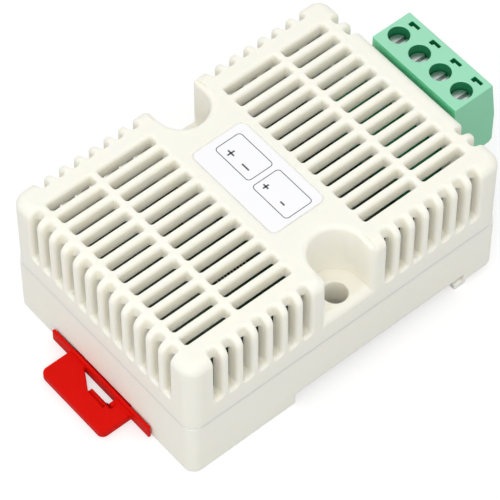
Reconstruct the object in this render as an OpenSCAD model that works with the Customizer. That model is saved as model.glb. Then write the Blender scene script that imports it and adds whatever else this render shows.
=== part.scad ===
// Temperature and humidity transmitter for a 35 mm rail. Millimetres, +Z up.
// Origin on the rail seat, midway between the two mounting screw holes.
// +X points to the wire terminal, -X to the sliding rail clip.

/* [Housing] */
// Length of the housing
body_l = 65; // [62:0.5:72]
// Width of the housing
body_w = 45; // [44:0.5:50]
// Height of the cover top above the rail seat
top_z = 25.7; // [24:0.1:29]
// Depth of the feet below the rail seat
foot_drop = 2.8; // [2.6:0.1:3.4]
// Height of the joint between base and cover
joint_z = 9.4; // [9:0.1:10]
// Thickness of the side walls
wall = 2.4; // [1.8:0.1:2.4]
// Thickness of the cover roof
roof = 2.8; // [1.8:0.1:3]
// Thickness of the base floor
floor_t = 1.8; // [1.4:0.1:2.4]
// Radius of the upright corners of the cover
cover_r = 2.6; // [1:0.1:2.8]
// Radius of the upright corners of the base
base_r = 2; // [0.8:0.1:2.4]
// Radius of the top edges of the cover
top_r = 2; // [0.8:0.1:2.4]
// Radius of the lower edge at the terminal end
heel_r = 1.5; // [0.8:0.1:1.8]
// Height of the tongue that centres the cover on the base
tongue_h = 1.4; // [1:0.1:2]
// Thickness of that tongue
tongue_t = 0.7; // [0.5:0.05:0.9]
// Gap round the tongue
fit_gap = 0.1; // [0.05:0.01:0.2]
// Length of each snap bead on the tongue
bead_l = 6; // [4:0.5:8]
// Distance of the snap beads from the middle
bead_x = 15; // [12:0.5:20]
// How far a snap bead stands out
bead_out = 0.25; // [0.15:0.05:0.35]
// Height of a snap bead
bead_h = 0.6; // [0.4:0.1:0.8]

/* [Vents] */
// Number of slot rows across the top
row_count = 12; // [8:2:12]
// Distance between slot rows
row_pitch = 3.02; // [2.8:0.02:3.2]
// Width of a slot
slot_w = 1.75; // [1.2:0.05:1.9]
// Corner radius of a slot
slot_r = 0.4; // [0.2:0.05:0.55]
// Closed band in the middle of the top
band_w = 15.2; // [14:0.2:18]
// Length of the slots beside the band
long_slot = 10.9; // [8:0.1:11]
// Length of the outer slots
short_slot = 8.9; // [5:0.1:9]
// Rib between two slot columns
column_gap = 1.34; // [1.2:0.02:2]
// Shift of the top slots along X
grid_x = -0.25; // [-0.5:0.05:0]
// Height of the lower end of the wall slots
wall_slot_z = 13.9; // [13:0.1:18]
// Number of wall slots in each half of a long wall
side_slots = 7; // [4:1:7]
// Distance of the first wall slot from the middle
side_slot_x = 8.6; // [8.4:0.05:9]
// Number of wall slots on each side of the terminal opening
end_slots = 2; // [1:1:2]
// Reach of the end wall slots over the top edge
end_wrap = 2.1; // [1:0.1:2.2]
// Reach of the long wall slots over the top edge
side_wrap = 2.1; // [1:0.1:2.2]

/* [Mounting screws] */
// Distance of the screw holes from the long sides
hole_in = 3.4; // [3.2:0.05:4]
// Radius of the screw holes
hole_r = 2.1; // [1.6:0.05:2.3]
// Height of the ledge under a screw head
ledge_z = 14.7; // [14:0.1:17]
// Thickness of the ledge
ledge_t = 1.8; // [1.2:0.1:2.2]
// Radius of the screw head pocket
pocket_r = 4.7; // [4:0.1:5]
// Rounding at the mouth of the pocket
mouth_r = 1.2; // [1:0.1:2.5]
// Rounding of the outer edge of the ledge
ledge_r = 1.6; // [0.8:0.1:1.8]
// Radius of the boss round a screw hole
boss_r = 3.3; // [3:0.1:3.6]

/* [Rail seat] */
// Width of the rail
rail_w = 35; // [34.8:0.1:35.2]
// Thickness of the rail flange
rail_t = 1; // [1:0.1:1.2]
// End of the fixed hook along X
hook_x = 23.6; // [22.5:0.1:24.4]
// Reach of a hook under the rail
hook_reach = 1.6; // [1.2:0.1:1.8]
// Gap between the rail and its hooks
rail_gap = 0.3; // [0.2:0.05:0.4]
// Gap between the rail and the foot at the clip
foot_gap = 1.2; // [0.8:0.1:1.6]
// Length of the fixed hook
lip_l = 2.6; // [2.4:0.1:3.2]
// Height of the outer foot above the floor
foot_relief = 0.9; // [0.4:0.1:1]

/* [Rail clip] */
// Width of the sliding plate
plate_w = 14; // [12:0.2:16]
// Thickness of the sliding plate
plate_t = 1.4; // [1.2:0.1:1.6]
// Depth of the plate below the rail seat
plate_drop = 0.3; // [0.2:0.05:0.4]
// Width of the rib under the plate
rib_w = 11.6; // [10:0.2:11.8]
// Gap between the clip and its guide
guide_gap = 0.2; // [0.15:0.01:0.3]
// Travel of the clip
clip_travel = 4; // [3:0.5:5]
// Gap under the clip
clip_lift = 0.15; // [0.1:0.05:0.3]
// Radius of the peg that stops the clip
stop_r = 1.2; // [1:0.1:1.5]
// Distance of the stop peg from the end of the housing
stop_in = 9; // [8:0.5:10]
// Length of the hook nose root
nose_l = 3; // [2.4:0.1:4]
// Width of the outer flange
flange_w = 25; // [22:0.2:28]
// Thickness of the outer flange
flange_t = 0.6; // [0.5:0.1:1]
// Height of the flange above the rail seat
flange_z = 0; // [-0.2:0.1:0.6]
// Length of the pull tab
tab_l = 6; // [5:0.1:8]
// Width of the pull tab
tab_w = 16; // [15:0.2:20]
// Thickness of the pull tab
tab_t = 1.6; // [1.2:0.1:1.8]
// Corner radius of the pull tab
tab_r = 1.2; // [0.8:0.1:2.2]
// Width of the screwdriver window
window_w = 8; // [6:0.2:9]
// Length of the screwdriver window
window_l = 2.4; // [2:0.1:2.8]
// Width of the lever tongue in the window
lever_w = 5; // [4:0.1:5.5]
// Radius of the lever tongue
lever_r = 1.7; // [1.5:0.1:1.9]
// Reach of the lever tongue into the window
lever_reach = 0.8; // [0.5:0.1:1.2]
// Thickness of the lever tongue
lever_t = 0.6; // [0.5:0.05:0.8]
// Length of a spring arm
arm_l = 11.5; // [10:0.5:12]
// Spread of a spring arm
arm_out = 4.2; // [3.4:0.1:4.4]
// Thickness of a spring arm
arm_t = 0.8; // [0.6:0.05:1]
// Height of a spring arm
arm_h = 1.2; // [1:0.1:1.3]
// Length of the root pad of a spring arm
arm_root = 2; // [1.6:0.1:2.4]

/* [Terminal] */
// Number of poles
poles = 4; // [4:1:4]
// Distance between poles
pole_pitch = 5.08; // [5:0.04:5.08]
// Gap between the housing and the plug
plug_gap = 0.6; // [0.4:0.1:1]
// Height of the underside of the plug
plug_z = 10.1; // [9.9:0.1:10.3]
// Height of the plug
plug_h = 15.3; // [15:0.1:16.5]
// Length of the plug at the top
plug_top_l = 8.2; // [8:0.1:8.8]
// Length of the plug at the wire entries
plug_l = 9.2; // [9:0.1:10]
// Height of the wire entry side
plug_front_h = 7.4; // [7:0.1:8.4]
// Bevel of the lower front edge of the plug
plug_bevel = 0.6; // [0.3:0.1:0.8]
// Distance of the screws from the inner side of the plug
screw_in = 3.6; // [3.4:0.1:3.8]
// Radius of the screw access holes
access_r = 1.85; // [1.8:0.05:2]
// Depth of the screw heads below the top
head_depth = 1.9; // [1.6:0.05:2.4]
// Radius of a screw head
head_r = 1.7; // [1.5:0.05:1.75]
// Height of a screw head
head_h = 1.5; // [1.2:0.1:1.6]
// Width of the screw slot
drive_w = 0.6; // [0.5:0.05:0.7]
// Depth of the screw slot
drive_d = 0.8; // [0.6:0.05:0.9]
// Radius of the screw shank
shank_r = 1.2; // [1:0.05:1.25]
// Radial play of the screw shank
shank_gap = 0.08; // [0.05:0.01:0.1]
// Length of a clamp cage along the wire
cage_l = 4; // [3.6:0.1:4]
// Width of a clamp cage
cage_w = 3.8; // [3.6:0.05:3.8]
// Height of a clamp cage
cage_h = 5.2; // [5:0.1:5.3]
// Wall of a clamp cage
cage_t = 0.6; // [0.5:0.05:0.65]
// Threaded top of a clamp cage
cage_top = 1.6; // [1.4:0.1:1.7]
// Play of a clamp cage in its chamber
cage_gap = 0.2; // [0.15:0.01:0.2]
// Height of the open clamp cage above the underside of the plug
cage_z = 2.3; // [2.2:0.05:2.4]
// Rise of a clamp cage
cage_rise = 2; // [1.6:0.1:2]
// Width of a wire entry
entry_w = 3; // [2.6:0.1:3.2]
// Thickness of the contact bar
bar_t = 0.5; // [0.4:0.05:0.55]
// Width of the contact bar
bar_w = 2.2; // [1.9:0.1:2.3]
// Thickness of a contact leaf
leaf_t = 0.3; // [0.25:0.05:0.4]
// Distance of the contact leaves from the inner end of the plug
leaf_in = 2; // [1.5:0.1:2.5]
// Width of a header pin
pin_w = 1; // [0.9:0.05:1]
// Gap between a pin and its contact
pin_gap = 0.15; // [0.1:0.01:0.2]
// Length of the header
header_l = 10.3; // [10:0.1:11]
// Height of the header
header_h = 8.6; // [8.5:0.1:9]
// Wall of the header
header_t = 0.9; // [0.8:0.05:1]
// Back wall of the header
header_back = 1.5; // [1.2:0.1:1.8]
// Play of the plug in the header
plug_play = 0.3; // [0.2:0.05:0.35]
// Setback of the header from the end of the housing
header_in = 0.2; // [0.1:0.05:0.4]
// Gap between the plug and the back of the header
insert_gap = 0.5; // [0.3:0.05:0.8]
// Gap between the header and its opening in the cover
header_gap = 0.4; // [0.3:0.05:0.6]
// Length of a mark recess on the plug
mark_l = 2; // [1.6:0.1:2.4]
// Width of a mark recess
mark_w = 0.6; // [0.5:0.05:0.8]
// Width of the head of a mark recess
mark_head = 1; // [0.8:0.05:1.2]
// Distance of the marks from the outer edge of the plug
mark_in = 0.9; // [0.7:0.05:1.1]
// Depth of a mark recess
mark_d = 1.2; // [0.6:0.1:1.4]

/* [Label] */
// Length of the label across the housing
label_l = 20.3; // [16:0.1:21]
// Width of the label
label_w = 10.8; // [8:0.1:12]
// Corner radius of the label
label_r = 1.2; // [0.6:0.1:2]
// Thickness of the label
label_t = 0.15; // [0.1:0.05:0.2]
// Border of the label recess
label_gap = 0.2; // [0.1:0.05:0.4]
// Depth of the label recess
label_in = 0.2; // [0.2:0.05:0.4]

/* [Board] */
// Height of the underside of the board
board_z = 8; // [7.9:0.1:8.2]
// Thickness of the board
board_t = 1.6; // [1.4:0.1:1.6]
// Gap between the board and the long walls
board_gap = 1.3; // [1.1:0.1:1.5]
// Distance of the locating pins from the board edges
post_in = 3.5; // [3.2:0.1:4]
// Radius of the board posts
post_r = 2.6; // [2.2:0.1:2.8]
// Radius of the locating pins
peg_r = 1.2; // [1:0.05:1.3]
// Distance of the hold-down ribs from the middle
rib_x = 21; // [20:0.5:22]
// Length and height of a hold-down rib
hold_l = 2; // [1.5:0.1:3]
// Overlap of a hold-down rib on the board
hold_in = 0.9; // [0.6:0.1:1.2]
// Size of the controller chip along X
chip_l = 6.5; // [6:0.1:7]
// Width of the controller chip
chip_w = 4.4; // [4:0.1:4.8]
// Height of the controller chip
chip_h = 1.1; // [0.9:0.1:1.2]
// Length of the bus chip
bus_l = 4.9; // [4.6:0.1:5.2]
// Width of the bus chip
bus_w = 3.9; // [3.6:0.1:4]
// Height of the bus chip
bus_h = 1.5; // [1.3:0.1:1.7]
// Length of the converter chip
conv_l = 2.9; // [2.6:0.1:3]
// Width of the converter chip
conv_w = 1.6; // [1.5:0.1:1.7]
// Thickness of a chip lead
lead_t = 0.2; // [0.15:0.01:0.25]
// Reach of a chip lead
lead_l = 1; // [0.8:0.1:1.1]
// Size of the inductor
coil_w = 6; // [5:0.1:6.5]
// Height of the inductor
coil_h = 2.8; // [2:0.1:3.2]
// Radius of the capacitor can
can_r = 3.15; // [2.8:0.05:3.3]
// Height of the capacitor can
can_h = 5.4; // [4:0.1:5.8]
// Thickness of the plastic foot of the capacitor
can_foot = 1; // [0.8:0.1:1.4]
// Length of the diode
diode_l = 4.3; // [4:0.1:4.6]
// Width of the diode
diode_w = 2.6; // [2.2:0.1:2.8]
// Height of the diode
diode_h = 2.2; // [2:0.1:2.4]
// Size of the sensor chip
sensor_w = 3; // [2.5:0.1:3.2]
// Distance of the sensor chip from the end of the board
sensor_in = 5; // [3:0.5:6]
// Distance of the power parts from the header pins
power_in = 3; // [2.6:0.1:3.4]
// Length of a small chip part
small_l = 1.6; // [1.4:0.1:1.8]
// Width of a small chip part
small_w = 0.8; // [0.7:0.05:1]
// Distance between small chip parts
small_pitch = 2.4; // [2.2:0.1:2.6]
// Number of resistors
resistor_count = 8; // [4:1:8]
// Number of ceramic capacitors
ceramic_count = 7; // [4:1:7]

/* [Hidden] */
$fn = 64;
over = 1;
end_x = body_l / 2;
side_y = body_w / 2;
inner_l = body_l - 2 * wall;
inner_w = body_w - 2 * wall;
hole_y = side_y - hole_in;
rail_x1 = hook_x + hook_reach;
rail_x0 = rail_x1 - rail_w;
foot_x = rail_x0 - foot_gap;
board_top = board_z + board_t;
board_l = inner_l - 2 * board_gap;
board_w = inner_w - 2 * board_gap;
post_x = board_l / 2 - post_in;
post_y = board_w / 2 - post_in;
clip_low = -foot_drop + clip_lift;
plate_z1 = -plate_drop;
plate_z0 = plate_z1 - plate_t;
nose_x = rail_x0 + hook_reach;
nose_top = -rail_t - guide_gap;
stop_x = -end_x + stop_in;
stop_gap = 1.5 * guide_gap;
flange_x = -end_x - guide_gap;
tab_x0 = flange_x - flange_t - tab_l;
lever_y = (lever_w - window_w) / 2 - over;
arm_x = foot_x - nose_l - arm_root + over - guide_gap;
arm_z = plate_z0 + (plate_t - arm_h) / 2;
plug_w = poles * pole_pitch;
header_w = plug_w + header_t;
header_x1 = end_x - header_in;
header_x0 = header_x1 - header_l;
pin_x = header_x0 - pin_w;
pin_z = board_top + header_h / 2;
open_w = header_w + 2 * header_gap;
open_z = board_top + header_h + header_gap;
plug_x = end_x + plug_gap;
plug_top = plug_z + plug_h;
nose_w = header_w - 2 * header_t - 2 * plug_play;
nose_h = header_h - 2 * header_t - 2 * plug_play;
nose_z = board_top + header_t + plug_play;
insert_x = header_x0 + header_back + insert_gap;
screw_x = plug_x + screw_in;
head_z = plug_top - head_depth - head_h;
cage_low = plug_z + cage_z;
cage_in_z = cage_low + cage_t;
cage_in_h = cage_h - cage_t - cage_top;
chamber_z0 = cage_low - 2 * cage_gap;
chamber_z1 = cage_low + cage_h + cage_rise + 2 * cage_gap;
bar_z = cage_in_z + cage_in_h - cage_gap - bar_t;
thread_r = shank_r + shank_gap;

function row_y(i) = (i - (row_count - 1) / 2) * row_pitch;
function pole_y(i) = ((poles + 1) / 2 - i) * pole_pitch;

module round_rect(l, w, r) {
  square([l - 2 * r, w], center = true);
  square([l, w - 2 * r], center = true);
  for (sx = [-1, 1], sy = [-1, 1])
    translate([sx * (l / 2 - r), sy * (w / 2 - r)])
      circle(r);
}

module arch(l, z0, z1, r) {
  translate([-l / 2, z0])
    square([l, z1 - r - z0]);
  translate([-l / 2 + r, z0])
    square([l - 2 * r, z1 - z0]);
  for (s = [-1, 1])
    translate([s * (l / 2 - r), z1 - r])
      circle(r);
}

module along_x(l) {
  rotate([90, 0, 90])
    linear_extrude(l, center = true)
      children();
}

module along_y(w) {
  rotate([90, 0, 0])
    linear_extrude(w, center = true)
      children();
}

module block(x0, x1, y0, y1, z0, z1) {
  translate([x0, y0, z0])
    cube([x1 - x0, y1 - y0, z1 - z0]);
}

// Everything that stands inside the outer skin of the walls
module inside_walls() {
  block(-end_x + wall / 2, end_x - wall / 2, -side_y + wall / 2, side_y - wall / 2,
    -foot_drop, top_z - roof / 2);
}

module cover_blank() {
  intersection() {
    translate([0, 0, joint_z])
      linear_extrude(top_z - joint_z + over)
        round_rect(body_l, body_w, cover_r);
    along_y(body_w + 2 * over)
      arch(body_l, joint_z - over, top_z, top_r);
    along_x(body_l + 2 * over)
      arch(body_w, joint_z - over, top_z, top_r);
  }
}

module cover_shell() {
  groove = 2 * (tongue_t + fit_gap);
  bead = bead_l / 2 + 2 * fit_gap;
  bead_y = inner_w / 2 + tongue_t + bead_out + 2 * fit_gap;
  bead_z = joint_z + tongue_h / 2;
  difference() {
    cover_blank();
    translate([-inner_l / 2, -inner_w / 2, joint_z - over])
      cube([inner_l, inner_w, top_z - roof - joint_z + over]);
    translate([-(inner_l + groove) / 2, -(inner_w + groove) / 2, joint_z - over])
      cube([inner_l + groove, inner_w + groove, tongue_h + fit_gap + over]);
    for (sx = [-1, 1])
      block(sx * bead_x - bead, sx * bead_x + bead, -bead_y, bead_y,
        bead_z - bead_h / 2 - fit_gap, bead_z + bead_h / 2 + fit_gap);
  }
}

module cover_inner(s) {
  intersection() {
    inside_walls();
    union() {
      translate([0, s * hole_y, ledge_z - ledge_t])
        cylinder(r = pocket_r + wall, h = top_z - ledge_z + ledge_t);
      translate([0, s * hole_y, joint_z])
        cylinder(r = boss_r, h = ledge_z - joint_z);
    }
  }
}

module hold_down(sx, sy) {
  rib_y = board_w / 2 - hold_in;
  rib_z = joint_z + tongue_h + 3 * fit_gap;
  translate([sx * rib_x - hold_l / 2, 0, 0])
    mirror([0, sy < 0 ? 1 : 0, 0]) {
      block(0, hold_l, rib_y, inner_w / 2 + wall / 4, rib_z, rib_z + hold_l);
      block(0, hold_l, rib_y, inner_w / 2 - 3 * fit_gap, board_top + fit_gap, rib_z + hold_l / 2);
    }
}

module pocket_plan() {
  translate([0, hole_y])
    circle(pocket_r);
  translate([-pocket_r, hole_y])
    square([2 * pocket_r, side_y - hole_y + over]);
  difference() {
    translate([-pocket_r - mouth_r, side_y - mouth_r])
      square([2 * (pocket_r + mouth_r), mouth_r + over]);
    for (s = [-1, 1])
      translate([s * (pocket_r + mouth_r), side_y - mouth_r])
        circle(mouth_r);
  }
}

// Pocket down to its ledge, whose outer edge is rounded, and the screw hole below
module pocket_cut() {
  difference() {
    translate([0, 0, ledge_z - ledge_r])
      linear_extrude(top_z - ledge_z + ledge_r + over)
        pocket_plan();
    block(-body_l, body_l, 0, side_y - ledge_r, 0, ledge_z);
    translate([0, side_y - ledge_r, ledge_z - ledge_r])
      rotate([0, 90, 0])
        cylinder(r = ledge_r, h = body_l, center = true);
  }
  translate([0, hole_y, joint_z - over])
    cylinder(r = hole_r, h = ledge_z - joint_z + 2 * over);
}

module top_slots() {
  long_x = band_w / 2 + long_slot / 2;
  short_x = band_w / 2 + long_slot + column_gap + short_slot / 2;
  translate([grid_x, 0, top_z - roof - over])
    linear_extrude(roof + 2 * over)
      for (i = [0:row_count - 1], s = [-1, 1]) {
        translate([s * long_x, row_y(i)])
          round_rect(long_slot, slot_w, slot_r);
        translate([s * short_x, row_y(i)])
          round_rect(short_slot, slot_w, slot_r);
      }
}

module end_slot(s, y) {
  x0 = end_x - wall - 2 * fit_gap;
  mirror([s < 0 ? 1 : 0, 0, 0]) {
    block(x0, end_x + over, y - slot_w / 2, y + slot_w / 2, wall_slot_z, top_z - roof);
    block(end_x - end_wrap, end_x + over, y - slot_w / 2, y + slot_w / 2, wall_slot_z, top_z + over);
  }
}

module side_slot(s, x) {
  y0 = side_y - wall - 2 * fit_gap;
  mirror([0, s < 0 ? 1 : 0, 0]) {
    block(x - slot_w / 2, x + slot_w / 2, y0, side_y + over, wall_slot_z, top_z - roof);
    block(x - slot_w / 2, x + slot_w / 2, side_y - side_wrap, side_y + over, wall_slot_z, top_z + over);
  }
}

module wall_slots() {
  for (i = [0:row_count - 1])
    end_slot(-1, row_y(i));
  for (i = [0:end_slots - 1], s = [-1, 1])
    end_slot(1, s * row_y(i));
  for (i = [0:side_slots - 1], sx = [-1, 1], sy = [-1, 1])
    side_slot(sy, sx * (side_slot_x + i * row_pitch));
}

module top_cover() {
  color("ivory")
    difference() {
      union() {
        cover_shell();
        for (s = [-1, 1])
          cover_inner(s);
        for (sx = [-1, 1], sy = [-1, 1])
          hold_down(sx, sy);
      }
      pocket_cut();
      mirror([0, 1, 0])
        pocket_cut();
      top_slots();
      wall_slots();
      block(end_x - wall - over, end_x + over, -open_w / 2, open_w / 2, joint_z - over, open_z);
      translate([0, 0, top_z - label_in])
        linear_extrude(label_in + over)
          round_rect(label_w + 2 * label_gap, label_l + 2 * label_gap, label_r);
    }
}

module tongue() {
  bead_y = inner_w / 2 + tongue_t + bead_out;
  bead_z = joint_z + tongue_h / 2;
  difference() {
    union() {
      block(-inner_l / 2 - tongue_t, inner_l / 2 + tongue_t, -inner_w / 2 - tongue_t,
        inner_w / 2 + tongue_t, joint_z - over, joint_z + tongue_h);
      for (s = [-1, 1])
        block(s * bead_x - bead_l / 2, s * bead_x + bead_l / 2, -bead_y, bead_y,
          bead_z - bead_h / 2, bead_z + bead_h / 2);
    }
    block(-inner_l / 2, inner_l / 2, -inner_w / 2, inner_w / 2, joint_z - 2 * over, joint_z + 2 * tongue_h);
    block(-boss_r - header_gap, boss_r + header_gap, -body_w, body_w, joint_z, joint_z + 2 * tongue_h);
    block(0, body_l, -open_w / 2, open_w / 2, joint_z, joint_z + 2 * tongue_h);
  }
}

module base_shell() {
  difference() {
    translate([0, 0, -foot_drop])
      linear_extrude(joint_z + foot_drop)
        round_rect(body_l, body_w, base_r);
    block(-inner_l / 2, inner_l / 2, -inner_w / 2, inner_w / 2, floor_t, joint_z + over);
  }
}

module base_inner() {
  for (s = [-1, 1])
    intersection() {
      inside_walls();
      translate([0, s * hole_y, floor_t / 2])
        cylinder(r = boss_r, h = joint_z - floor_t / 2);
    }
  for (sx = [-1, 1], sy = [-1, 1])
    translate([sx * post_x, sy * post_y, floor_t / 2]) {
      cylinder(r = post_r, h = board_z - floor_t / 2);
      cylinder(r = peg_r, h = board_z - floor_t / 2 + board_t - 2 * fit_gap);
    }
}

// Rail channel with the undercut behind the fixed hook
module rail_channel() {
  low = -foot_drop - over;
  block(foot_x, hook_x, -body_w, body_w, low, 0);
  block(hook_x - over, rail_x1 + rail_gap, -body_w, body_w, -rail_t - rail_gap, 0);
  block(hook_x + lip_l, body_l, -body_w, body_w, low, -foot_drop + foot_relief);
  difference() {
    block(end_x - heel_r, end_x + over, -body_w, body_w, low, -foot_drop + foot_relief + heel_r);
    translate([end_x - heel_r, 0, -foot_drop + foot_relief + heel_r])
      rotate([90, 0, 0])
        cylinder(r = heel_r, h = 3 * body_w, center = true);
  }
}

// Guide of the clip, with the wider bays of the spring arms
module clip_guide() {
  bay_x = arm_x - arm_l - arm_t - 2 * guide_gap;
  bay_y = plate_w / 2 + arm_out + arm_t + 2 * guide_gap;
  bay_top = plate_z1 + guide_gap;
  low = -foot_drop - over;
  block(-body_l, foot_x + over, -plate_w / 2 - guide_gap, plate_w / 2 + guide_gap,
    plate_z0 - guide_gap, bay_top);
  block(-body_l, foot_x + over, -rib_w / 2 - guide_gap, rib_w / 2 + guide_gap, low, plate_z0);
  block(bay_x, arm_x + arm_root + guide_gap, -bay_y, bay_y, low, bay_top);
}

module base() {
  color("ivory") {
    difference() {
      union() {
        base_shell();
        base_inner();
        tongue();
      }
      rail_channel();
      clip_guide();
      for (s = [-1, 1])
        translate([0, s * hole_y, -foot_drop])
          cylinder(r = hole_r, h = joint_z + foot_drop + over);
    }
    translate([stop_x, 0, plate_z0 + guide_gap])
      cylinder(r = stop_r, h = plate_t + plate_drop);
  }
}

module label() {
  color("white")
    translate([0, 0, top_z - label_in])
      linear_extrude(label_t)
        round_rect(label_w, label_l, label_r);
}

module nose() {
  along_y(rib_w)
    polygon([
      [foot_x - nose_l, clip_low],
      [foot_x, clip_low],
      [nose_x, nose_top - hook_reach / 4],
      [nose_x, nose_top],
      [foot_x - guide_gap, nose_top],
      [foot_x - guide_gap, plate_z1],
      [foot_x - nose_l, plate_z1]]);
}

// Screwdriver window in the pull tab, slanted at the end away from the lever
module tab_window() {
  root_x = tab_x0 + tab_l;
  translate([0, 0, clip_low - over])
    linear_extrude(tab_t + 2 * over)
      polygon([
        [root_x - window_l, -window_w / 2],
        [root_x, -window_w / 2],
        [root_x, window_w / 2],
        [root_x - window_l, lever_y + lever_w / 2]]);
}

// Tab rounded at its two outer corners, ending inside the flange
module pull_tab() {
  translate([tab_x0, 0, clip_low])
    linear_extrude(tab_t)
      intersection() {
        translate([tab_l, 0])
          round_rect(2 * tab_l, tab_w, tab_r);
        translate([0, -tab_w])
          square([tab_l + flange_t / 2, 2 * tab_w]);
      }
}

module lever() {
  translate([tab_x0 + tab_l - window_l + lever_reach, lever_y, clip_low])
    intersection() {
      block(-2 * lever_r, 0, -lever_w / 2, lever_w / 2, 0, 2 * lever_r);
      rotate([90, 0, 0])
        difference() {
          cylinder(r = lever_r, h = 2 * lever_w, center = true);
          cylinder(r = lever_r - lever_t, h = 3 * lever_w, center = true);
        }
    }
}

// Slot in the plate that runs along the stop peg
module stop_slot() {
  run_r = stop_r + stop_gap;
  translate([stop_x, 0, plate_z0]) {
    cylinder(r = run_r, h = plate_t + over);
    translate([clip_travel, 0, 0])
      cylinder(r = run_r, h = plate_t + over);
    block(0, clip_travel, -run_r, run_r, 0, plate_t + over);
  }
}

module din_clip() {
  color("red") {
    difference() {
      union() {
        block(flange_x - over / 2, foot_x - nose_l + over, -plate_w / 2, plate_w / 2, plate_z0, plate_z1);
        block(flange_x - over / 2, foot_x - nose_l + over, -rib_w / 2, rib_w / 2,
          clip_low, plate_z0 + over / 2);
        block(flange_x - flange_t, flange_x, -flange_w / 2, flange_w / 2, clip_low, flange_z);
        pull_tab();
        nose();
      }
      tab_window();
      stop_slot();
    }
    lever();
  }
}

module spring_arm() {
  steps = 24;
  mid = [for (i = [0:steps])
    let (t = i / steps)
    [arm_x - t * arm_l, plate_w / 2 + arm_out * t * t * (3 - 2 * t)]];
  far = [for (i = [steps:-1:0]) [mid[i][0], mid[i][1] + arm_t]];
  root = [[arm_x + arm_root, plate_w / 2 + arm_t], [arm_x + arm_root, plate_w / 2]];
  translate([0, 0, arm_z])
    linear_extrude(arm_h)
      polygon(concat(mid, far, root));
}

module clip_spring_arms() {
  color("red") {
    spring_arm();
    mirror([0, 1, 0])
      spring_arm();
  }
}

module board() {
  color("green")
    translate([0, 0, board_z])
      linear_extrude(board_t)
        difference() {
          square([board_l, board_w], center = true);
          for (s = [-1, 1])
            translate([0, s * hole_y])
              circle(boss_r + header_gap);
          for (sx = [-1, 1], sy = [-1, 1])
            translate([sx * post_x, sy * post_y])
              circle(peg_r + fit_gap);
          for (i = [1:poles])
            translate([pin_x, pole_y(i)])
              circle(pin_w * 0.75);
        }
}

module terminal_header() {
  color("mediumaquamarine")
    difference() {
      block(header_x0, header_x1, -header_w / 2, header_w / 2, board_top, board_top + header_h);
      block(header_x0 + header_back, header_x1 + over, -header_w / 2 + header_t, header_w / 2 - header_t,
        board_top + header_t, board_top + header_h - header_t);
      for (i = [1:poles])
        translate([header_x0, pole_y(i), pin_z])
          cube([3 * header_back, pin_w + fit_gap, pin_w + fit_gap], center = true);
    }
}

module header_pins() {
  tail = pin_z - board_z + pin_w;
  reach = insert_x + header_l * 0.65;
  color("silver")
    for (i = [1:poles])
      translate([0, pole_y(i) - pin_w / 2, 0]) {
        block(pin_x - pin_w / 2, reach, 0, pin_w, pin_z - pin_w / 2, pin_z + pin_w / 2);
        block(pin_x - pin_w / 2, pin_x + pin_w / 2, 0, pin_w, pin_z - tail, pin_z);
      }
}

module plug_outline() {
  top_x = plug_x + plug_top_l;
  out_x = plug_x + plug_l;
  polygon([
    [plug_x, plug_z],
    [out_x - plug_bevel, plug_z],
    [out_x, plug_z + plug_bevel],
    [out_x, plug_z + plug_front_h],
    [top_x, plug_top],
    [plug_x, plug_top]]);
}

// Hollows of one pole: screw access, cage chamber, wire entry, contact way, mark
module pole_hollow() {
  chamber_l = cage_l + 2 * cage_gap;
  chamber_w = cage_w + 2 * cage_gap;
  way_w = bar_w + 2 * cage_gap;
  way_z = pin_z - pin_w / 2 - 2 * pin_gap;
  mark_x = plug_x + plug_top_l - mark_in;
  translate([screw_x, 0, head_z])
    cylinder(r = access_r, h = plug_h);
  translate([screw_x, 0, chamber_z0 + over])
    cylinder(r = thread_r, h = head_z - chamber_z0);
  block(screw_x - chamber_l / 2, screw_x + chamber_l / 2, -chamber_w / 2, chamber_w / 2,
    chamber_z0, chamber_z1);
  block(screw_x, plug_x + plug_l + over, -entry_w / 2, entry_w / 2, cage_in_z, cage_in_z + cage_in_h);
  block(insert_x - over, screw_x, -way_w / 2, way_w / 2, way_z, bar_z + bar_t + fit_gap);
  block(mark_x - mark_w, mark_x, -mark_l * 0.6, mark_l * 0.4, plug_top - mark_d, plug_top + over);
  block(mark_x - mark_head, mark_x, 0, mark_l * 0.4, plug_top - mark_d, plug_top + over);
}

module terminal_plug() {
  color("mediumaquamarine")
    difference() {
      union() {
        along_y(plug_w)
          plug_outline();
        block(insert_x, plug_x + over, -nose_w / 2, nose_w / 2, nose_z, nose_z + nose_h);
      }
      for (i = [1:poles])
        translate([0, pole_y(i), 0])
          pole_hollow();
    }
}

module plug_contacts() {
  in_y = pin_w / 2 + pin_gap;
  leaf_x0 = insert_x + leaf_in;
  leaf_x1 = plug_x - leaf_in;
  color("gold")
    for (i = [1:poles])
      translate([0, pole_y(i), 0]) {
        block(leaf_x0, screw_x + cage_l / 2, -bar_w / 2, bar_w / 2, bar_z, bar_z + bar_t);
        for (s = [-1, 1])
          translate([0, s * (in_y + leaf_t / 2), 0])
            block(leaf_x0, leaf_x1, -leaf_t / 2, leaf_t / 2, pin_z - pin_w / 2, bar_z + bar_t / 2);
      }
}

module clamp_screw(i) {
  tip_z = cage_in_z + cage_in_h + fit_gap;
  color("silver")
    translate([screw_x, pole_y(i), 0])
      difference() {
        union() {
          translate([0, 0, head_z])
            cylinder(r = head_r, h = head_h);
          translate([0, 0, tip_z])
            cylinder(r = shank_r, h = head_z - tip_z + over / 2);
        }
        block(-2 * head_r, 2 * head_r, -drive_w / 2, drive_w / 2, head_z + head_h - drive_d, plug_top);
      }
}

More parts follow.
